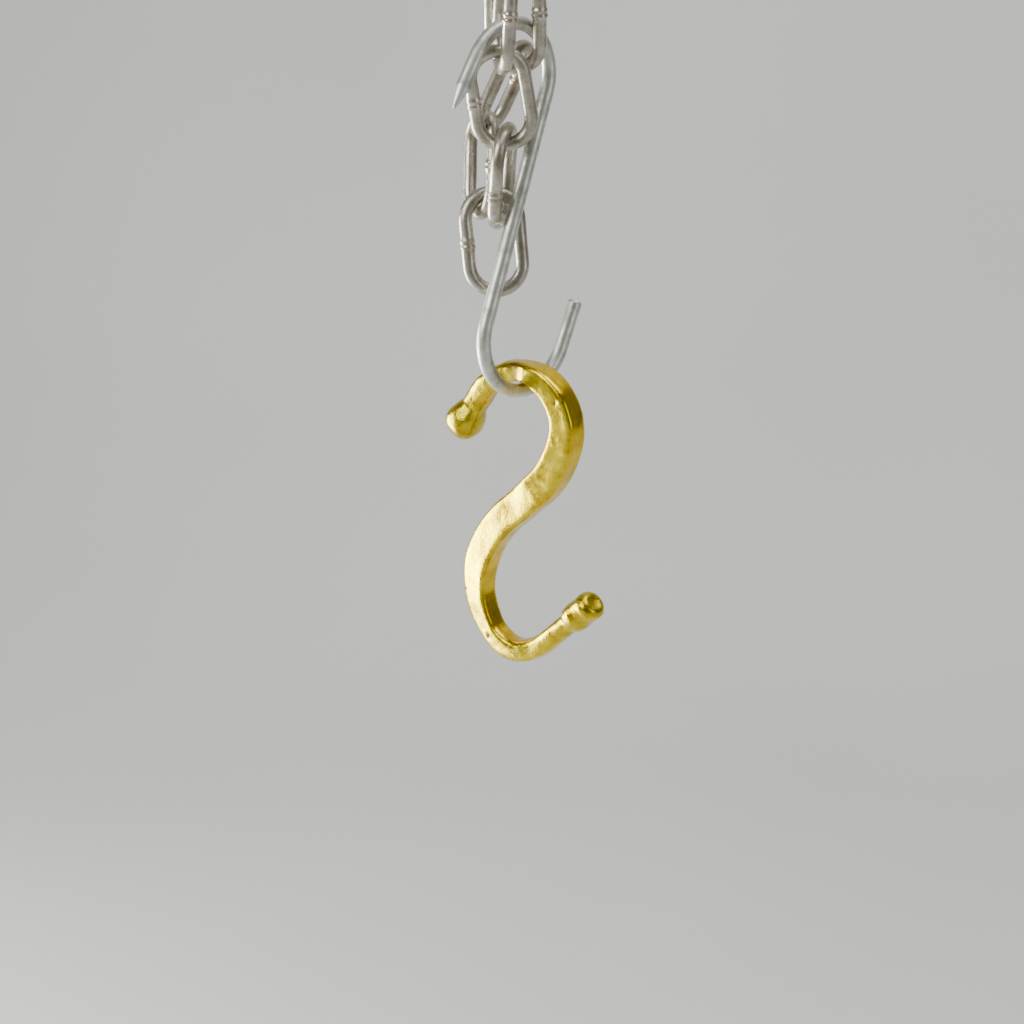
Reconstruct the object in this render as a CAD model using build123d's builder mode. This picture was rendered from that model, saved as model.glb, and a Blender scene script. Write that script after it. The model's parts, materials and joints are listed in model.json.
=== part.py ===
from build123d import *
import math
import os

os.makedirs("parts", exist_ok=True)

# ---------------------------------------------------------------------------
# A hanging set from a butcher's rail: seven welded oval chain links gathered
# into a short loop, a pointed steel wire meat hook through the two upper
# links, and a cast brass S-hook with knobbed ends on the wire hook.
#
# All lengths are millimetres and all angles are degrees.
# The origin is where the right carrier link bears on whatever holds it: the
# inside of its top bend. +Z is up, +X is to the right and +Y is to the back.
# ---------------------------------------------------------------------------

# Chain: one link size, used seven times.
chain_wire = 5.0
link_centre_length = 35.3
link_centre_width = 19.2
weld_diameter = 5.8
weld_length = 3.2
weld_chamfer = 0.25

# Wire meat hook: upper and lower bends joined by a straight shank.
hook_wire = 5.0
hook_height = 140.0
upper_bend = 20.0
lower_bend = 21.0
bend_offset = 6.4
point_leg_lean = 34.5
point_leg_length = 21.0
point_length = 8.5
point_taper = 13.9
free_leg_lean = 26.5
free_leg_length = 18.0
sheared_chamfer = 0.4

# Brass S-hook: a flat-faced bar bent in one plane, with a knob on each end.
# It runs from the ball over the wire hook and down to the barrel as straight
# lengths and (radius, turn, bar width) bends; a negative turn is to the right.
brass_turn = 38.0
brass_thickness = 9.4
brass_edge_radius = 2.4
ball_place = (-27.9, -17.9)
first_heading = 57.1
first_width = 8.6
upper_arm = 14.7
shoulder = (29.7, -34.4, 6.9)
brass_upper_bend = (18.4, -126.5, 10.2)
upper_ease = (42.3, -33.6, 11.0)
diagonal = 18.2
lower_ease = (50.9, 26.2, 12.9)
brass_lower_bend = (29.2, 57.1, 11.0)
brass_bottom = (15.3, 67.1, 9.2)
toe = (24.5, 30.7, 8.1)
lower_arm = 23.7
ball_radius = 6.8
barrel_radius = 5.8
barrel_length = 13.0
barrel_overhang = 6.0
barrel_rounding = 2.4
barrel_foot_rounding = 0.4

# Link name: centre, turn, lean right, lean back, then the bar that carries
# the butt weld (1 right, -1 left) and the weld's height above the centre.
links = {
    "carrier_link_right": ((0.18, 1.10, -15.11), 25.85, -0.70, -4.18, 1, 3.7),
    "carrier_link_left": ((-3.52, -11.70, -11.98), -100.78, 3.46, -3.28, -1, 3.5),
    "left_strand_link_1": ((-4.81, -8.52, -41.31), -4.65, -8.69, -6.83, -1, 0.0),
    "left_strand_link_2": ((-4.25, -4.27, -70.70), -76.42, 3.79, -10.84, -1, -3.7),
    "right_strand_link_1": ((-4.37, 7.58, -42.17), -61.86, 23.65, -6.14, 1, 3.4),
    "right_strand_link_2": ((-11.82, 5.80, -69.08), 66.28, 1.33, 21.03, 1, -1.6),
    "bottom_link": ((-7.33, -3.97, -95.13), -6.87, -5.34, 11.08, -1, 0.0),
}
hook_place = ((0.98, -6.40, -82.40), -46.08, -0.48, 2.24)


def hanging_plane(centre, turn, lean_right=0.0, lean_back=0.0):
    """Upright plane turned about the vertical, its right side nearer when
    positive, with its top leaned to the right and to the back."""
    rise = Vector(math.tan(math.radians(lean_right)), math.tan(math.radians(lean_back)), 1.0)
    up = rise.normalized()
    level = Vector(math.cos(math.radians(turn)), -math.sin(math.radians(turn)), 0.0)
    across = (level - up * level.dot(up)).normalized()
    return Plane(origin=centre, x_dir=across, z_dir=across.cross(up))


def polar(centre, radius, angle):
    """Point at an angle on a circle, in plane coordinates."""
    return (
        centre[0] + radius * math.cos(math.radians(angle)),
        centre[1] + radius * math.sin(math.radians(angle)),
    )


def draw_run(start, heading, steps):
    """Draw straight lengths and (radius, turn) bends, each tangent to the
    last, and return the end point and heading."""
    point = start
    for step in steps:
        if isinstance(step, tuple):
            radius, turn = step
            side = math.copysign(90, turn)
            centre = polar(point, radius, heading + side)
            CenterArc(centre, radius, heading - side, turn)
            point = polar(centre, radius, heading - side + turn)
            heading = heading + turn
        else:
            end = polar(point, step, heading)
            Line(point, end)
            point = end
    return point, heading


# ---------------------------------------------------------------------------
# Seven chain links: round wire bent to an oval, closed by a butt weld that
# leaves a low collar on one bar.
# ---------------------------------------------------------------------------
bend_radius = link_centre_width / 2
half_bar = link_centre_length / 2 - bend_radius

for name, (centre, turn, lean_right, lean_back, weld_side, weld_height) in links.items():
    link_plane = hanging_plane(centre, turn, lean_right, lean_back)
    weld_foot = Vector(weld_side * bend_radius, weld_height - weld_length / 2, 0)
    weld_plane = Plane(
        origin=link_plane.from_local_coords(weld_foot),
        x_dir=link_plane.x_dir,
        z_dir=link_plane.y_dir,
    )
    with BuildPart() as link:
        with BuildLine(link_plane) as loop:
            draw_run(
                (bend_radius, -half_bar),
                90,
                [2 * half_bar, (bend_radius, 180), 2 * half_bar, (bend_radius, 180)],
            )
        start = loop.edges()[0]
        with BuildSketch(Plane(start @ 0, z_dir=start % 0)):
            Circle(chain_wire / 2)
        sweep()
        with BuildSketch(weld_plane):
            Circle(weld_diameter / 2)
        extrude(amount=weld_length)
        rims = (
            link.edges()
            .filter_by(GeomType.CIRCLE)
            .filter_by(lambda edge: abs(edge.radius - weld_diameter / 2) < 0.01)
        )
        chamfer(rims, length=weld_chamfer)
    link.part.label = name
    export_step(link.part, f"parts/{name}.step")

# ---------------------------------------------------------------------------
# Wire meat hook: ground to a point at the upper end, sheared square at the
# lower end, drawn in its own plane about its mid-height.
# ---------------------------------------------------------------------------
hook_plane = hanging_plane(*hook_place)
upper_centre = (-bend_offset / 2, hook_height / 2 - hook_wire / 2 - upper_bend)
lower_centre = (bend_offset / 2, -hook_height / 2 + hook_wire / 2 + lower_bend)
centre_gap = math.dist(upper_centre, lower_centre)
both_bends = upper_bend + lower_bend
shank_lean = math.degrees(
    math.asin(both_bends / centre_gap)
    - math.atan2(bend_offset, upper_centre[1] - lower_centre[1])
)
shank_length = math.sqrt(centre_gap**2 - both_bends**2)
point_heading = 90 - point_leg_lean
arch_start = polar(upper_centre, upper_bend, 180 - point_leg_lean)
point_base = polar(arch_start, point_leg_length - point_length, point_heading + 180)

with BuildPart() as wire_meat_hook:
    with BuildLine(hook_plane) as hook_line:
        hook_end, hook_heading = draw_run(
            point_base,
            point_heading,
            [
                point_leg_length - point_length,
                (upper_bend, point_leg_lean - 180 - shank_lean),
                shank_length,
                (lower_bend, 180 + shank_lean - free_leg_lean),
                free_leg_length,
            ],
        )
    first_edge = hook_line.edges()[0]
    with BuildSketch(Plane(first_edge @ 0, z_dir=first_edge % 0)):
        Circle(hook_wire / 2)
    sweep()
    free_end = hook_plane.from_local_coords(Vector(hook_end[0], hook_end[1], 0))
    end_rim = wire_meat_hook.edges().filter_by(GeomType.CIRCLE).sort_by_distance(free_end)[0]
    chamfer(end_rim, length=sheared_chamfer)
    with BuildSketch(Plane(first_edge @ 0, z_dir=-(first_edge % 0))):
        Circle(hook_wire / 2)
    extrude(amount=point_length, taper=point_taper)
wire_meat_hook.part.label = "wire_meat_hook"
export_step(wire_meat_hook.part, "parts/wire_meat_hook.step")

# ---------------------------------------------------------------------------
# Brass S-hook: its upper bend sits over the lowest point of the wire hook.
# A ball closes the upper arm and a short barrel closes the lower one.
# ---------------------------------------------------------------------------
seat = Vector(lower_centre[0], lower_centre[1] - lower_bend, 0)
brass_plane = hanging_plane(hook_plane.from_local_coords(seat), brass_turn)
brass_run = [
    upper_arm,
    shoulder,
    brass_upper_bend,
    upper_ease,
    diagonal,
    lower_ease,
    brass_lower_bend,
    brass_bottom,
    toe,
    lower_arm,
]


def brass_edge(side):
    """Start and steps of one long edge of the bar: 1 is its left, -1 its right."""
    start = polar(ball_place, side * first_width / 2, first_heading + 90)
    steps = []
    for step in brass_run:
        if isinstance(step, tuple):
            radius, turn, width = step
            steps.append((radius - math.copysign(width / 2, side * turn), turn))
        else:
            steps.append(step)
    return start, steps


with BuildPart() as brass_s_hook:
    with BuildSketch(brass_plane):
        with BuildLine():
            left_start, left_steps = brass_edge(1)
            right_start, right_steps = brass_edge(-1)
            left_end, arm_heading = draw_run(left_start, first_heading, left_steps)
            right_end, arm_heading = draw_run(right_start, first_heading, right_steps)
            Line(left_start, right_start)
            Line(left_end, right_end)
        make_face()
    extrude(amount=brass_thickness / 2, both=True)
    flats = brass_s_hook.faces().filter_by(Axis(brass_plane.origin, brass_plane.z_dir))
    long_edges = flats.edges().filter_by(lambda edge: edge.length > brass_thickness)
    fillet(long_edges, radius=brass_edge_radius)

    arm_end = ((left_end[0] + right_end[0]) / 2, (left_end[1] + right_end[1]) / 2)
    with BuildSketch(brass_plane):
        with BuildLine():
            CenterArc(ball_place, ball_radius, -90, 180)
            Line(polar(ball_place, ball_radius, 90), polar(ball_place, ball_radius, -90))
        make_face()
    ball_point = brass_plane.from_local_coords(Vector(ball_place[0], ball_place[1], 0))
    revolve(axis=Axis(ball_point, brass_plane.y_dir))

    barrel_foot = polar(arm_end, barrel_length - barrel_overhang, arm_heading + 180)
    foot_point = brass_plane.from_local_coords(Vector(barrel_foot[0], barrel_foot[1], 0))
    arm_point = brass_plane.from_local_coords(Vector(arm_end[0], arm_end[1], 0))
    with BuildSketch(Plane(foot_point, z_dir=arm_point - foot_point)):
        Circle(barrel_radius)
    extrude(amount=barrel_length)
    barrel_rims = (
        brass_s_hook.edges()
        .filter_by(GeomType.CIRCLE)
        .filter_by(lambda edge: abs(edge.radius - barrel_radius) < 0.01)
        .sort_by_distance(foot_point)
    )
    fillet(barrel_rims[-1], radius=barrel_rounding)
    fillet(barrel_rims[0], radius=barrel_foot_rounding)
brass_s_hook.part.label = "brass_s_hook"
export_step(brass_s_hook.part, "parts/brass_s_hook.step")
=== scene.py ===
import json
import math

import bpy
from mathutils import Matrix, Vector, noise


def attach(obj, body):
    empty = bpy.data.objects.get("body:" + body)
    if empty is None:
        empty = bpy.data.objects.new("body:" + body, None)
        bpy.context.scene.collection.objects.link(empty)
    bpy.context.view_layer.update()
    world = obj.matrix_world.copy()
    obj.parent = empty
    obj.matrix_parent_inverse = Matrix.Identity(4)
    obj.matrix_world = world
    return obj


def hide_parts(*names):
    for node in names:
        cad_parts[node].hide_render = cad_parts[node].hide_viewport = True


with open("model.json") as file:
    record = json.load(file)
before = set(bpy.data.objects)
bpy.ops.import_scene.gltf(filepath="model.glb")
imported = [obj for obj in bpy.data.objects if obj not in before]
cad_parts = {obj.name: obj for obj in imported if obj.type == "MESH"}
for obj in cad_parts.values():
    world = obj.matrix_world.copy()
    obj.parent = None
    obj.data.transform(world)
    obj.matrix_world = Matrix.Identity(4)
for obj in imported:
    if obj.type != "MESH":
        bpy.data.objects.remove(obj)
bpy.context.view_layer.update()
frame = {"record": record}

MM = 0.001

# ---------------------------------------------------------------------------
# Sizes and places, in millimetres and degrees, the same as the CAD source.
# ---------------------------------------------------------------------------
CHAIN_RADIUS = 2.5
BEND_RADIUS = 9.6
HALF_BAR = 8.05

# Link: centre, turn, lean right, lean back, welded bar (1 right, -1 left),
# weld height above the link's middle, bead height, copper tint of the weld.
LINKS = {
    "carrier_link_right": ((0.18, 1.10, -15.11), 25.85, -0.70, -4.18, 1, 3.7, 0.62, 0.1),
    "carrier_link_left": ((-3.52, -11.70, -11.98), -100.78, 3.46, -3.28, -1, 3.5, 0.38, 0.4),
    "left_strand_link_1": ((-4.81, -8.52, -41.31), -4.65, -8.69, -6.83, -1, 0.0, 0.40, 0.1),
    "left_strand_link_2": ((-4.25, -4.27, -70.70), -76.42, 3.79, -10.84, -1, -3.7, 0.50, 0.2),
    "right_strand_link_1": ((-4.37, 7.58, -42.17), -61.86, 23.65, -6.14, 1, 3.4, 0.55, 1.0),
    "right_strand_link_2": ((-11.82, 5.80, -69.08), 66.28, 1.33, 21.03, 1, -1.6, 0.55, 0.3),
    "bottom_link": ((-7.33, -3.97, -95.13), -6.87, -5.34, 11.08, -1, 0.0, 0.45, 0.1),
}
HOOK_PLACE = ((0.98, -6.40, -82.40), -46.08, -0.48, 2.24)
HOOK_RADIUS = 2.5
UPPER_BEND = 20.0
LOWER_BEND = 21.0
UPPER_CENTRE = (-3.2, 47.5)
LOWER_CENTRE = (3.2, -46.5)
POINT_LEAN = 34.5
POINT_LEG = 21.0
POINT_CONE = 8.5
FREE_LEAN = 26.5
FREE_LEG = 18.0

# Brass hook: bends are (radius, turn), positive turns to the left.
BRASS_TURN = 38.0
KNOB_PLACE = (-27.9, -17.9)
FIRST_HEADING = 57.1
UPPER_ARM = 14.7
SHOULDER = (29.7, -34.4)
BRASS_UPPER = (18.4, -126.5)
UPPER_EASE = (42.3, -33.6)
DIAGONAL = 18.2
LOWER_EASE = (50.9, 26.2)
BRASS_LOWER = (29.2, 57.1)
BRASS_BOTTOM = (15.3, 67.1)
TOE = (24.5, 30.7)
LOWER_ARM = 23.7


# ---------------------------------------------------------------------------
# Planar curves
# ---------------------------------------------------------------------------
class Upright:
    """A hanging plane: across to the right, up, and out towards the front."""

    def __init__(self, centre, turn, lean_right=0.0, lean_back=0.0):
        rise = Vector((math.tan(math.radians(lean_right)), math.tan(math.radians(lean_back)), 1))
        self.up = rise.normalized()
        level = Vector((math.cos(math.radians(turn)), -math.sin(math.radians(turn)), 0))
        self.across = (level - self.up * level.dot(self.up)).normalized()
        self.out = self.across.cross(self.up)
        self.centre = Vector(centre)

    def at(self, x, y, z=0.0):
        return self.centre + self.across * x + self.up * y + self.out * z


def polar(centre, radius, angle):
    a = math.radians(angle)
    return (centre[0] + radius * math.cos(a), centre[1] + radius * math.sin(a))


def walk(start, heading, steps, spacing):
    """Sample a chain of straights and (radius, turn) bends. Gives rows of
    (x, y, heading, distance)."""
    rows = [(start[0], start[1], heading, 0.0)]
    point = start
    far = 0.0
    for step in steps:
        if isinstance(step, tuple):
            radius, turn = step
            side = math.copysign(90, turn)
            centre = polar(point, radius, heading + side)
            length = radius * math.radians(abs(turn))
            count = max(2, round(length / spacing))
            for i in range(1, count + 1):
                part = turn * i / count
                x, y = polar(centre, radius, heading - side + part)
                rows.append((x, y, heading + part, far + length * i / count))
            point = rows[-1][:2]
            heading += turn
        else:
            length = step
            count = max(2, round(length / spacing))
            for i in range(1, count + 1):
                x, y = polar(point, length * i / count, heading)
                rows.append((x, y, heading, far + length * i / count))
            point = rows[-1][:2]
        far += length
    return rows


def smooth(low, high, value):
    t = min(1.0, max(0.0, (value - low) / (high - low)))
    return t * t * (3 - 2 * t)


def blend(stops, value):
    """Smooth interpolation through (place, number) stops."""
    if value <= stops[0][0]:
        return stops[0][1]
    for (a, first), (b, second) in zip(stops, stops[1:]):
        if value <= b:
            return first + (second - first) * smooth(a, b, value)
    return stops[-1][1]


def bell(distance, width):
    """1 in the middle, falling away on both sides."""
    return math.exp(-((distance / width) ** 2))


def ripple(point, size, seed=0.0):
    """Even noise from -1 to 1 whose lumps are about size millimetres."""
    return noise.noise(Vector(point) / size + Vector((seed, seed * 1.7, -seed)))


def leftward(plane, heading):
    """Unit vector square to a heading in the plane, on its left."""
    turned = math.radians(heading + 90)
    return plane.across * math.cos(turned) + plane.up * math.sin(turned)


def middle_of(ring):
    return sum(ring, Vector((0, 0, 0))) / len(ring)


# ---------------------------------------------------------------------------
# Meshes
# ---------------------------------------------------------------------------
def skin(name, rings, closed, marks=None):
    """Mesh through rings of points in millimetres. Open runs get end caps
    that fan from a centre point. marks is one number per vertex."""
    around = len(rings[0])
    verts = [p * MM for ring in rings for p in ring]
    faces = []
    count = len(rings)
    for i in range(count if closed else count - 1):
        a = i * around
        b = (i + 1) % count * around
        for k in range(around):
            n = (k + 1) % around
            faces.append((a + k, a + n, b + n, b + k))
    if not closed:
        for ring, base, flip in ((rings[0], 0, False), (rings[-1], (count - 1) * around, True)):
            middle = len(verts)
            verts.append(middle_of(ring) * MM)
            for k in range(around):
                n = (k + 1) % around
                tri = (middle, base + n, base + k)
                faces.append(tri[::-1] if flip else tri)
    mesh = bpy.data.meshes.new(name)
    mesh.from_pydata(verts, [], faces)
    mesh.validate()
    mesh.shade_smooth()
    if not closed:
        for face in mesh.polygons:
            face.use_smooth = len(face.vertices) > 3
    if marks is not None:
        layer = mesh.attributes.new("mark", "FLOAT", "POINT")
        layer.data.foreach_set("value", list(marks) + [0.0] * (len(verts) - len(marks)))
    piece = bpy.data.objects.new(name, mesh)
    bpy.context.scene.collection.objects.link(piece)
    return piece


# ---------------------------------------------------------------------------
# Materials
# ---------------------------------------------------------------------------
def material(name):
    made = bpy.data.materials.new(name)
    made.use_nodes = True
    tree = made.node_tree
    return made, tree, tree.nodes["Principled BSDF"]


def add(tree, kind, settings=None, inputs=None):
    node = tree.nodes.new(kind)
    for key, value in (settings or {}).items():
        setattr(node, key, value)
    for key, value in (inputs or {}).items():
        node.inputs[key].default_value = value
    return node


def object_noise(tree, scale, detail=4.0, rough=0.55, stretch=(1, 1, 1)):
    """Noise in the piece's own coordinates, scale in lumps per metre."""
    coords = add(tree, "ShaderNodeTexCoord")
    mapping = add(tree, "ShaderNodeMapping", inputs={"Scale": stretch})
    tree.links.new(coords.outputs["Object"], mapping.inputs["Vector"])
    tex = add(
        tree,
        "ShaderNodeTexNoise",
        inputs={"Scale": scale, "Detail": detail, "Roughness": rough},
    )
    tree.links.new(mapping.outputs["Vector"], tex.inputs["Vector"])
    return tex


def ramp(tree, source, stops):
    node = add(tree, "ShaderNodeValToRGB")
    bar = node.color_ramp
    while len(bar.elements) < len(stops):
        bar.elements.new(0.5)
    for element, (place, colour) in zip(bar.elements, stops):
        element.position = place
        element.color = colour if len(colour) == 4 else (*colour, 1)
    tree.links.new(source, node.inputs["Fac"])
    return node


def grey(level):
    return (level, level, level)


def bump(tree, source, strength, distance, before=None):
    node = add(tree, "ShaderNodeBump", inputs={"Strength": strength, "Distance": distance})
    tree.links.new(source, node.inputs["Height"])
    if before:
        tree.links.new(before.outputs["Normal"], node.inputs["Normal"])
    return node


def mix(tree, kind, fac, a, b):
    node = add(tree, "ShaderNodeMix", {"data_type": "RGBA", "blend_type": kind})
    if isinstance(fac, (int, float)):
        node.inputs["Factor"].default_value = fac
    else:
        tree.links.new(fac, node.inputs["Factor"])
    for value, socket in ((a, node.inputs[6]), (b, node.inputs[7])):
        if isinstance(value, tuple):
            socket.default_value = (*value, 1)
        else:
            tree.links.new(value, socket)
    return node.outputs[2]


def chain_metal():
    """Dull plated link wire: a warm grey film, paler rubbed spots, and a
    coppery flush where the weld mark is strong."""
    made, tree, shader = material("chain_steel")
    film = object_noise(tree, 120, 5, 0.6)
    fine = object_noise(tree, 900, 3, 0.6)
    colour = ramp(
        tree,
        film.outputs["Fac"],
        [(0.30, (0.24, 0.21, 0.155)), (0.46, (0.42, 0.39, 0.31)), (0.66, (0.60, 0.57, 0.49))],
    )
    specks = ramp(tree, fine.outputs["Fac"], [(0.30, grey(0.72)), (0.50, grey(1.0))])
    base = mix(tree, "MULTIPLY", 0.8, colour.outputs["Color"], specks.outputs["Color"])
    mark = add(tree, "ShaderNodeAttribute", {"attribute_name": "mark"})
    base = mix(tree, "MIX", mark.outputs["Fac"], base, (0.46, 0.29, 0.18))
    tree.links.new(base, shader.inputs["Base Color"])
    shader.inputs["Metallic"].default_value = 0.92
    rough = ramp(tree, film.outputs["Fac"], [(0.30, grey(0.46)), (0.65, grey(0.24))])
    tree.links.new(rough.outputs["Color"], shader.inputs["Roughness"])
    low = bump(tree, film.outputs["Fac"], 0.25, 0.0006)
    high = bump(tree, fine.outputs["Fac"], 0.22, 0.0001, low)
    tree.links.new(high.outputs["Normal"], shader.inputs["Normal"])
    return made


def hook_metal():
    """Satin drawn wire with faint draw lines; the ground point is brighter."""
    made, tree, shader = material("hook_steel")
    cloud = object_noise(tree, 170, 5, 0.65)
    lines = object_noise(tree, 260, 4, 0.6, (7, 7, 0.35))
    fine = object_noise(tree, 1100, 4, 0.6)
    colour = ramp(
        tree,
        cloud.outputs["Fac"],
        [(0.32, (0.40, 0.41, 0.345)), (0.50, (0.60, 0.61, 0.54)), (0.68, (0.76, 0.77, 0.70))],
    )
    streak = ramp(tree, lines.outputs["Fac"], [(0.32, grey(0.80)), (0.52, grey(1.0))])
    base = mix(tree, "MULTIPLY", 0.7, colour.outputs["Color"], streak.outputs["Color"])
    mark = add(tree, "ShaderNodeAttribute", {"attribute_name": "mark"})
    base = mix(tree, "MIX", mark.outputs["Fac"], base, (0.74, 0.74, 0.72))
    tree.links.new(base, shader.inputs["Base Color"])
    shader.inputs["Metallic"].default_value = 0.95
    rough = ramp(tree, cloud.outputs["Fac"], [(0.30, grey(0.48)), (0.70, grey(0.34))])
    tree.links.new(rough.outputs["Color"], shader.inputs["Roughness"])
    low = bump(tree, lines.outputs["Fac"], 0.07, 0.0002)
    high = bump(tree, fine.outputs["Fac"], 0.22, 0.00008, low)
    tree.links.new(high.outputs["Normal"], shader.inputs["Normal"])
    return made


def brass_metal(name, dark, mid, light, rough_low, rough_high, scratch):
    """Worn brass: cloudy tarnish, fine crossing scratches, small pits."""
    made, tree, shader = material(name)
    cloud = object_noise(tree, 110, 6, 0.68)
    grain = object_noise(tree, 1000, 4, 0.65)
    hatch_a = object_noise(tree, 420, 3, 0.6, (1, 1, 9))
    hatch_b = object_noise(tree, 420, 3, 0.6, (9, 9, 1))
    colour = ramp(tree, cloud.outputs["Fac"], [(0.28, dark), (0.48, mid), (0.70, light)])
    spots = ramp(tree, grain.outputs["Fac"], [(0.30, grey(0.45)), (0.44, grey(1.0))])
    base = mix(tree, "MULTIPLY", 0.75, colour.outputs["Color"], spots.outputs["Color"])
    # The mark darkens the colour: painted shadow in the crease before the apex, and darkened pits.
    mark = add(tree, "ShaderNodeAttribute", {"attribute_name": "mark"})
    base = mix(tree, "MIX", mark.outputs["Fac"], base, (0.10, 0.07, 0.03))
    tree.links.new(base, shader.inputs["Base Color"])
    shader.inputs["Metallic"].default_value = 1.0
    rough = ramp(
        tree, grain.outputs["Fac"], [(0.34, grey(rough_high)), (0.62, grey(rough_low))]
    )
    tree.links.new(rough.outputs["Color"], shader.inputs["Roughness"])
    first = bump(tree, hatch_a.outputs["Fac"], scratch, 0.00012)
    second = bump(tree, hatch_b.outputs["Fac"], scratch, 0.00012, first)
    third = bump(tree, cloud.outputs["Fac"], 0.45, 0.0006, second)
    last = bump(tree, grain.outputs["Fac"], scratch, 0.0001, third)
    tree.links.new(last.outputs["Normal"], shader.inputs["Normal"])
    return made


CHAIN = chain_metal()
STEEL = hook_metal()
BRASS_FACE = brass_metal(
    "brass", (0.28, 0.18, 0.003), (0.55, 0.41, 0.010), (0.82, 0.67, 0.035), 0.15, 0.30, 0.34
)
# Painted shade: the sides' copy of the brass has a darker, deeper amber colour than the face copy.
BRASS_SIDE_PAINTED_SHADE = brass_metal(
    "brass_side_painted_shade", (0.46, 0.27, 0.002), (0.76, 0.50, 0.004), (0.90, 0.66, 0.02), 0.13, 0.24, 0.10
)


# ---------------------------------------------------------------------------
# Chain links
# ---------------------------------------------------------------------------
LINK_AROUND = 36
LINK_SPACING = 0.5
# The butt weld: two ridges beside a seam, on a low swelling, all in
# millimetres along the wire. The flush is where heat has tinted it.
RIDGE_OFFSET = 1.15
RIDGE_BEFORE = 0.62
RIDGE_AFTER = 0.7
SWELL_LENGTH = 1.7
SEAM_DEPTH = 0.20
SEAM_LENGTH = 0.28
FLUSH_LENGTH = 2.1


def chain_link(name, centre, turn, lean_right, lean_back, side, height, bead, tint, seed):
    plane = Upright(centre, turn, lean_right, lean_back)
    rows = walk(
        (BEND_RADIUS, -HALF_BAR),
        90,
        [2 * HALF_BAR, (BEND_RADIUS, 180), 2 * HALF_BAR, (BEND_RADIUS, 180)],
        LINK_SPACING,
    )[:-1]
    bar_start = 0.0 if side > 0 else 2 * HALF_BAR + math.pi * BEND_RADIUS
    weld = bar_start + (height if side > 0 else -height) + HALF_BAR
    rings = []
    marks = []
    for x, y, heading, far in rows:
        inward = leftward(plane, heading)
        middle = plane.at(x, y)
        gap = far - weld
        ring = []
        for k in range(LINK_AROUND):
            angle = 2 * math.pi * k / LINK_AROUND
            outward = inward * math.cos(angle) + plane.out * math.sin(angle)
            spot = middle + outward * CHAIN_RADIUS
            radius = CHAIN_RADIUS * 0.985 + 0.06 * ripple(spot, 9.0, seed)
            radius += 0.02 * ripple(spot, 1.6, seed + 3)
            lump = 0.75 + 0.55 * ripple(spot, 2.2, seed + 7)
            wide = RIDGE_OFFSET + 0.35 * ripple(outward * 3, 1.5, seed + 9)
            ridge = bell(gap - wide, RIDGE_BEFORE) + bell(gap + wide, RIDGE_AFTER)
            radius += bead * lump * ridge * 0.8
            radius += bead * 0.42 * bell(gap, SWELL_LENGTH)
            radius -= SEAM_DEPTH * bell(gap, SEAM_LENGTH)
            ring.append(middle + outward * radius)
            patchy = smooth(-0.35, 0.35, ripple(spot, 1.8, seed + 5) + 0.15)
            marks.append(tint * bell(gap, FLUSH_LENGTH) * patchy)
        rings.append(ring)
    piece = skin(name + "_wire", rings, True, marks)
    piece.data.materials.append(CHAIN)
    return piece


body_of_node = {
    node: body for body, nodes in frame["record"]["behaviour"]["bodies"].items() for node in nodes
}


def finish_piece(piece, node):
    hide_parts(node)
    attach(piece, body_of_node[node])


for number, (node, row) in enumerate(LINKS.items()):
    link = chain_link(node, *row, seed=11.3 + 4.1 * number)
    finish_piece(link, node)

# ---------------------------------------------------------------------------
# Wire meat hook
# ---------------------------------------------------------------------------
HOOK_AROUND = 44
HOOK_SPACING = 0.45
POINT_RADIUS_SHARE = 0.14
POINT_SWELL = 0.78
TIP_LENGTH = 0.3
SHEAR_ROUNDING = 0.5
# The point is ground with a few soft flats. Depths are shares of the radius.
GROUND_LENGTH = POINT_CONE + 2
GROUND_LOSS = 0.05
FLATS = 4
FLAT_DEPTH = 0.045

hook_plane = Upright(*HOOK_PLACE)
centre_gap = math.dist(UPPER_CENTRE, LOWER_CENTRE)
shank_lean = math.degrees(
    math.asin((UPPER_BEND + LOWER_BEND) / centre_gap)
    - math.atan2(LOWER_CENTRE[0] - UPPER_CENTRE[0], UPPER_CENTRE[1] - LOWER_CENTRE[1])
)
shank = math.sqrt(centre_gap**2 - (UPPER_BEND + LOWER_BEND) ** 2)
arch_start = polar(UPPER_CENTRE, UPPER_BEND, 180 - POINT_LEAN)
point_tip = polar(arch_start, POINT_LEG, 270 - POINT_LEAN)
hook_rows = walk(
    point_tip,
    90 - POINT_LEAN,
    [
        POINT_LEG,
        (UPPER_BEND, POINT_LEAN - 180 - shank_lean),
        shank,
        (LOWER_BEND, 180 + shank_lean - FREE_LEAN),
        FREE_LEG,
    ],
    HOOK_SPACING,
)
hook_length = hook_rows[-1][3]
arch_end = POINT_LEG + UPPER_BEND * math.radians(180 + shank_lean - POINT_LEAN)
seat_far = arch_end + shank + LOWER_BEND * math.radians(90 + shank_lean)
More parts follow.
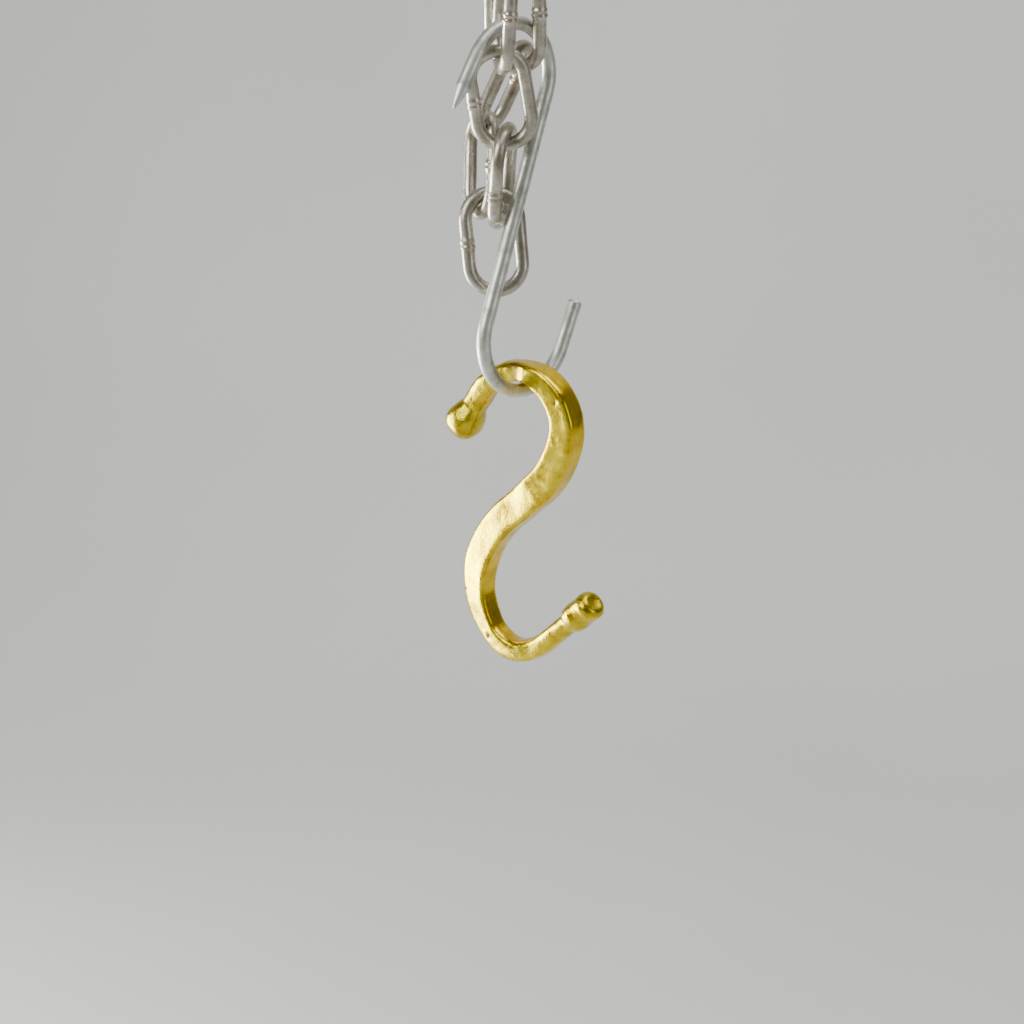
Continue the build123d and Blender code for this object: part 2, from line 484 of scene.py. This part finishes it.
# The wire's radius along its run: full away from the places where it bears.
HOOK_GIRTH = [
    (POINT_LEG - 4, 2.74),
    (POINT_LEG + 4, 2.58),
    (arch_end - 14, 2.58),
    (arch_end - 4, 2.72),
    (seat_far - 12, 2.72),
    (seat_far - 5, 2.58),
    (seat_far + 5, 2.58),
    (seat_far + 12, 2.72),
]
hook_rings = []
hook_marks = []
for x, y, heading, far in hook_rows:
    inward = leftward(hook_plane, heading)
    middle = hook_plane.at(x, y)
    cone = POINT_RADIUS_SHARE + (1 - POINT_RADIUS_SHARE) * (far / POINT_CONE) ** POINT_SWELL
    cone = min(1.0, cone)
    if far <= TIP_LENGTH:
        cone *= 0.45 + 0.55 * far / TIP_LENGTH
    left = hook_length - far
    shear = 1.0
    if left <= SHEAR_ROUNDING:
        shear = 0.86 + 0.14 * math.sqrt(max(0.0, left / SHEAR_ROUNDING))
    ring = []
    for k in range(HOOK_AROUND):
        angle = 2 * math.pi * k / HOOK_AROUND
        outward = inward * math.cos(angle) + hook_plane.out * math.sin(angle)
        spot = middle + outward * HOOK_RADIUS
        ground = 1.0
        if far < GROUND_LENGTH:
            edge = FLAT_DEPTH * math.cos(FLATS * angle + 0.6) * (1 - smooth(1.0, GROUND_LENGTH, far))
            ground = 1.0 - GROUND_LOSS * (1 - smooth(0, GROUND_LENGTH, far)) + edge
        girth = blend(HOOK_GIRTH, far) - 0.02 + 0.03 * ripple(spot, 14, 2.0)
        radius = girth * cone * ground * shear
        radius += 0.012 * ripple(spot, 1.5, 5.0)
        ring.append(middle + outward * radius)
        hook_marks.append(0.7 * (1 - smooth(POINT_CONE - 1.5, POINT_CONE + 0.5, far)))
    hook_rings.append(ring)
# The sheared end is slightly domed.
last = hook_rings[-1]
end_middle = middle_of(last)
ahead = (end_middle - hook_plane.at(*hook_rows[-3][:2])).normalized()
for share, rise in ((0.90, 0.12), (0.65, 0.22), (0.30, 0.28)):
    hook_rings.append([end_middle + (p - end_middle) * share + ahead * rise for p in last])
    hook_marks += [0.0] * HOOK_AROUND
hook = skin("wire_meat_hook_wire", hook_rings, False, hook_marks)
hook.data.materials.append(STEEL)
finish_piece(hook, "wire_meat_hook")

# ---------------------------------------------------------------------------
# Brass S-hook: one skin from the upper-left knob to the lower-right one.
# Distances run along the bar's middle line from the upper knob's centre.
# ---------------------------------------------------------------------------
seat = hook_plane.at(LOWER_CENTRE[0], LOWER_CENTRE[1] - LOWER_BEND)
brass_plane = Upright(seat, BRASS_TURN)
BRASS_AROUND = 64
BRASS_SPACING = 0.4
KNOB_RADIUS = 6.75
KNOB_OVERHANG = 6.4
KNOB_TAPER = 10.5
BARREL_OVERHANG = 6.0
BARREL_REACH = 12.5
BARREL_CAP_START = 4
# The bar inside the barrel's rounded end, as a share of the barrel's radius.
CORE_SHARE = 0.6
brass_start = polar(KNOB_PLACE, KNOB_OVERHANG, FIRST_HEADING + 180)
brass_rows = walk(
    brass_start,
    FIRST_HEADING,
    [
        UPPER_ARM + KNOB_OVERHANG,
        SHOULDER,
        BRASS_UPPER,
        UPPER_EASE,
        DIAGONAL,
        LOWER_EASE,
        BRASS_LOWER,
        BRASS_BOTTOM,
        TOE,
        LOWER_ARM + BARREL_OVERHANG,
    ],
    BRASS_SPACING,
)


def bend_length(bend):
    return bend[0] * math.radians(abs(bend[1]))


shoulder_end = UPPER_ARM + bend_length(SHOULDER)
apex = shoulder_end + BRASS_UPPER[0] * math.radians(FIRST_HEADING + SHOULDER[1])
upper_end = shoulder_end + bend_length(BRASS_UPPER)
straight_start = upper_end + bend_length(UPPER_EASE)
lower_start = straight_start + DIAGONAL + bend_length(LOWER_EASE)
lower_end = lower_start + bend_length(BRASS_LOWER)
bottom_end = lower_end + bend_length(BRASS_BOTTOM)
toe_end = bottom_end + bend_length(TOE)
bar_end = toe_end + LOWER_ARM

# Half the bar's width and thickness at distances along the run.
HALF_WIDTH = [
    (0, 4.6),
    (UPPER_ARM, 4.6),
    (shoulder_end - 4, 4.0),
    (apex, 3.95),
    (apex + 8, 4.4),
    (apex + 22, 5.2),
    (upper_end, 5.7),
    (straight_start, 6.4),
    (lower_start, 6.3),
    (lower_end - 12, 5.5),
    (lower_end + 6, 4.7),
    (bottom_end, 4.2),
    (toe_end, 4.0),
    (bar_end, 4.0),
]
HALF_THICK = [
    (0, 4.4),
    (apex - 7, 4.1),
    (apex - 1.5, 4.1),
    (apex + 2.0, 4.65),
    (lower_end, 4.65),
    (bottom_end, 4.4),
    (bar_end, 4.1),
]
# How far the section's middle lies to the left of the run's middle line.
LEANING = [
    (apex - 9, 0.0),
    (apex, -0.2),
    (apex + 9, 0.0),
    (upper_end - 12, 0.0),
    (straight_start + 6, 0.5),
    (lower_start + 4, 0.3),
    (lower_end, 0.0),
]
SQUARENESS = [
    (6, 2.5),
    (14, 3.0),
    (apex - 4, 3.2),
    (apex + 1, 4.6),
    (apex + 10, 7.5),
    (lower_start + 6, 7.0),
    (lower_end + 4, 5.0),
    (bottom_end, 3.2),
    (bar_end - 8, 2.2),
]
# Height of the cast surface's unevenness.
UNEVEN = [
    (0, 0.30),
    (apex - 8, 0.34),
    (apex + 2, 0.18),
    (lower_end, 0.18),
    (bottom_end, 0.26),
    (bar_end, 0.30),
]


def upper_knob(far):
    """Radius of the upper knob, a slightly drawn-out ball."""
    reach = KNOB_OVERHANG if far < 0 else KNOB_TAPER
    return KNOB_RADIUS * math.sqrt(max(0.0, 1 - (far / reach) ** 2))


# Radius of the barrel at distances from the bar's end.
BARREL = [
    (-BARREL_REACH, 0.0),
    (-9.4, 3.6),
    (-6.6, 5.3),
    (-4.0, 5.6),
    (-1.2, 5.4),
    (1.0, 5.45),
    (2.8, 5.75),
    (4.2, 5.6),
    (5.3, 5.0),
    (BARREL_OVERHANG, 4.1),
]


KNOB_SOFTNESS = 1.6
BARREL_SOFTNESS = 0.9


def larger(a, b, softness):
    """Soft maximum of two radii."""
    gap = abs(a - b)
    extra = max(0.0, softness - gap) ** 2 / (4 * softness)
    return max(a, b) + extra


# Pits in the front face: place across and up, depth, radius.
PITS = [
    (17.3, -0.4, 0.45, 0.65),
    (19.6, -2.2, 0.25, 0.45),
    (-26.0, -82.7, 0.35, 0.5),
    (-14.5, -98.6, 0.75, 0.9),
]

# A painted shadow darkens a crease across the front just before the apex.
CREASE_SHADOW_BEFORE_APEX = 2.5
CREASE_SHADOW_LENGTH = 2.2

# The front face falls away to its outer edge along the lower half, where it
# has been filed. Stops give the drop in millimetres.
FILED = [
    (straight_start, 0.0),
    (straight_start + DIAGONAL * 0.7, 2.3),
    (lower_end, 2.6),
    (bottom_end, 0.0),
]

brass_rings = []
brass_marks = []
for x, y, heading, far in brass_rows:
    far -= KNOB_OVERHANG
    sideways = leftward(brass_plane, heading)
    middle = brass_plane.at(x, y) + sideways * blend(LEANING, far)
    knob = upper_knob(far)
    barrel = blend(BARREL, far - bar_end)
    wide = blend(HALF_WIDTH, far)
    thick = blend(HALF_THICK, far)
    if far < 0:
        wide = wide * knob / KNOB_RADIUS
        thick = thick * knob / KNOB_RADIUS
    if far > bar_end + BARREL_CAP_START:
        wide = barrel * CORE_SHARE
        thick = barrel * CORE_SHARE
    softness = KNOB_SOFTNESS if far < apex else BARREL_SOFTNESS
    wide = larger(wide, max(knob, barrel), softness)
    thick = larger(thick, max(knob, barrel), softness)
    power = blend(SQUARENESS, far)
    uneven = blend(UNEVEN, far)
    ring = []
    for k in range(BRASS_AROUND):
        angle = 2 * math.pi * k / BRASS_AROUND
        c = math.cos(angle)
        s = math.sin(angle)
        scale = (abs(c) ** power + abs(s) ** power) ** (-1 / power)
        front = s * thick * scale
        if s > 0:
            front -= blend(FILED, far) * (1 - c * scale) / 2 * smooth(0, 0.5, s)
        outward = sideways * (c * wide * scale) + brass_plane.out * front
        spot = middle + outward
        lump = uneven * (ripple(spot, 8.0, 21.0) + 0.4 * ripple(spot, 3.2, 23.0))
        away = outward.normalized()
        point = spot + away * (lump - 0.10)
        # Painted shadow over the crease before the apex; the pits below are darkened too.
        dark = 0.55 * bell(far - apex + CREASE_SHADOW_BEFORE_APEX, CREASE_SHADOW_LENGTH) * smooth(0.1, 0.6, s)
        for pit_across, pit_up, depth, size in PITS:
            if s > 0.3:
                place = point - brass_plane.centre
                near = math.hypot(place.dot(brass_plane.across) - pit_across, place.z - pit_up)
                sink = bell(near, size)
                point = point - away * depth * sink
                dark = max(dark, sink * 0.8)
        ring.append(point)
        brass_marks.append(dark)
    brass_rings.append(ring)

# The barrel's end face is nearly flat, a little hollow in the middle.
last = brass_rings[-1]
end_middle = middle_of(last)
ahead = (end_middle - middle_of(brass_rings[-8])).normalized()
for share, rise in ((0.88, 0.14), (0.72, 0.14), (0.52, 0.04), (0.3, -0.08), (0.12, -0.12)):
    brass_rings.append([end_middle + (p - end_middle) * share + ahead * rise for p in last])
    brass_marks += [0.0] * BRASS_AROUND

# The bar's narrow sides are smoother than its faces, and their colour is darker, deeper amber:
# painted shade for the dim surroundings they reflect.
SIDE_FACING = 0.62
SIDES_START = 12
SIDES_STOP = bar_end - 14
brass = skin("brass_s_hook_bar", brass_rings, False, brass_marks)
brass.data.materials.append(BRASS_FACE)
brass.data.materials.append(BRASS_SIDE_PAINTED_SHADE)
for face in brass.data.polygons:
    row = min(face.index // BRASS_AROUND, len(brass_rows) - 1)
    along = brass_rows[row][3] - KNOB_OVERHANG
    flat_sided = SIDES_START < along < SIDES_STOP
    # Faces turned sideways get the painted-shade side material.
    if flat_sided and abs(face.normal.dot(brass_plane.out)) < SIDE_FACING:
        face.material_index = 1
finish_piece(brass, "brass_s_hook")

# ---------------------------------------------------------------------------
# Studio
# ---------------------------------------------------------------------------
# A paper sweep behind and below the set, in metres.
FLOOR_Z = -0.62
FLOOR_FRONT = -5.0
WALL_Y = 1.5
WALL_TOP = 3.0
CURVE = 0.8
CURVE_STEPS = 24
STAGE_HALF = 4.0
profile = [(FLOOR_FRONT, FLOOR_Z)]
for i in range(CURVE_STEPS + 1):
    a = math.radians(90 * i / CURVE_STEPS)
    profile.append((WALL_Y - CURVE + CURVE * math.sin(a), FLOOR_Z + CURVE - CURVE * math.cos(a)))
profile.append((WALL_Y, WALL_TOP))
stage_verts = [(x, y, z) for y, z in profile for x in (-STAGE_HALF, STAGE_HALF)]
stage_faces = [(2 * i, 2 * i + 1, 2 * i + 3, 2 * i + 2) for i in range(len(profile) - 1)]
stage_mesh = bpy.data.meshes.new("backdrop")
stage_mesh.from_pydata(stage_verts, [], stage_faces)
stage_mesh.shade_smooth()
backdrop = bpy.data.objects.new("backdrop", stage_mesh)
bpy.context.scene.collection.objects.link(backdrop)
paper, paper_tree, paper_shader = material("paper")
paper_noise = object_noise(paper_tree, 3, 2, 0.4)
paper_colour = ramp(
    paper_tree, paper_noise.outputs["Fac"], [(0.3, (0.56, 0.56, 0.545)), (0.7, (0.60, 0.60, 0.585))]
)
paper_tree.links.new(paper_colour.outputs["Color"], paper_shader.inputs["Base Color"])
paper_shader.inputs["Roughness"].default_value = 0.9
backdrop.data.materials.append(paper)


def softbox(name, place, aim, width, height, power):
    data = bpy.data.lights.new(name, "AREA")
    data.shape = "RECTANGLE"
    data.size = width
    data.size_y = height
    data.energy = power
    lamp = bpy.data.objects.new(name, data)
    lamp.location = place
    direction = Vector(aim) - Vector(place)
    lamp.rotation_euler = direction.to_track_quat("-Z", "Y").to_euler()
    bpy.context.scene.collection.objects.link(lamp)


MIDDLE = (0, 0, -0.15)
softbox("key", (-1.5, -1.1, 0.9), MIDDLE, 1.2, 1.2, 36)
softbox("low_left", (-0.72, 0.20, -0.38), (0, 0, -0.2), 0.34, 0.48, 14)
softbox("top", (0.3, -0.2, 1.9), MIDDLE, 1.6, 1.6, 22)
softbox("fill", (1.7, -1.3, 0.3), MIDDLE, 0.9, 1.4, 7)
softbox("back", (1.2, 0.4, 1.8), (0.3, 1.4, -0.3), 1.6, 1.0, 20)

world = bpy.data.worlds.new("studio")
bpy.context.scene.world = world
world.use_nodes = True
world.node_tree.nodes["Background"].inputs["Color"].default_value = (0.62, 0.63, 0.64, 1)
world.node_tree.nodes["Background"].inputs["Strength"].default_value = 0.3

# Camera: about 1.5 m away, looking down 20 degrees at the set's middle.
CAMERA_REACH = 1.5213
CAMERA_DOWN = math.radians(20)
TARGET = Vector((-0.0009, 0.01721, -0.20588))
camera_data = bpy.data.cameras.new("camera")
camera_data.lens = 143.7
camera_data.sensor_width = 36
camera_data.clip_end = 20
camera = bpy.data.objects.new("camera", camera_data)
camera.location = TARGET + Vector(
    (0, -CAMERA_REACH * math.cos(CAMERA_DOWN), CAMERA_REACH * math.sin(CAMERA_DOWN))
)
camera.rotation_euler = (math.pi / 2 - CAMERA_DOWN, 0, 0)
bpy.context.scene.collection.objects.link(camera)
bpy.context.scene.camera = camera
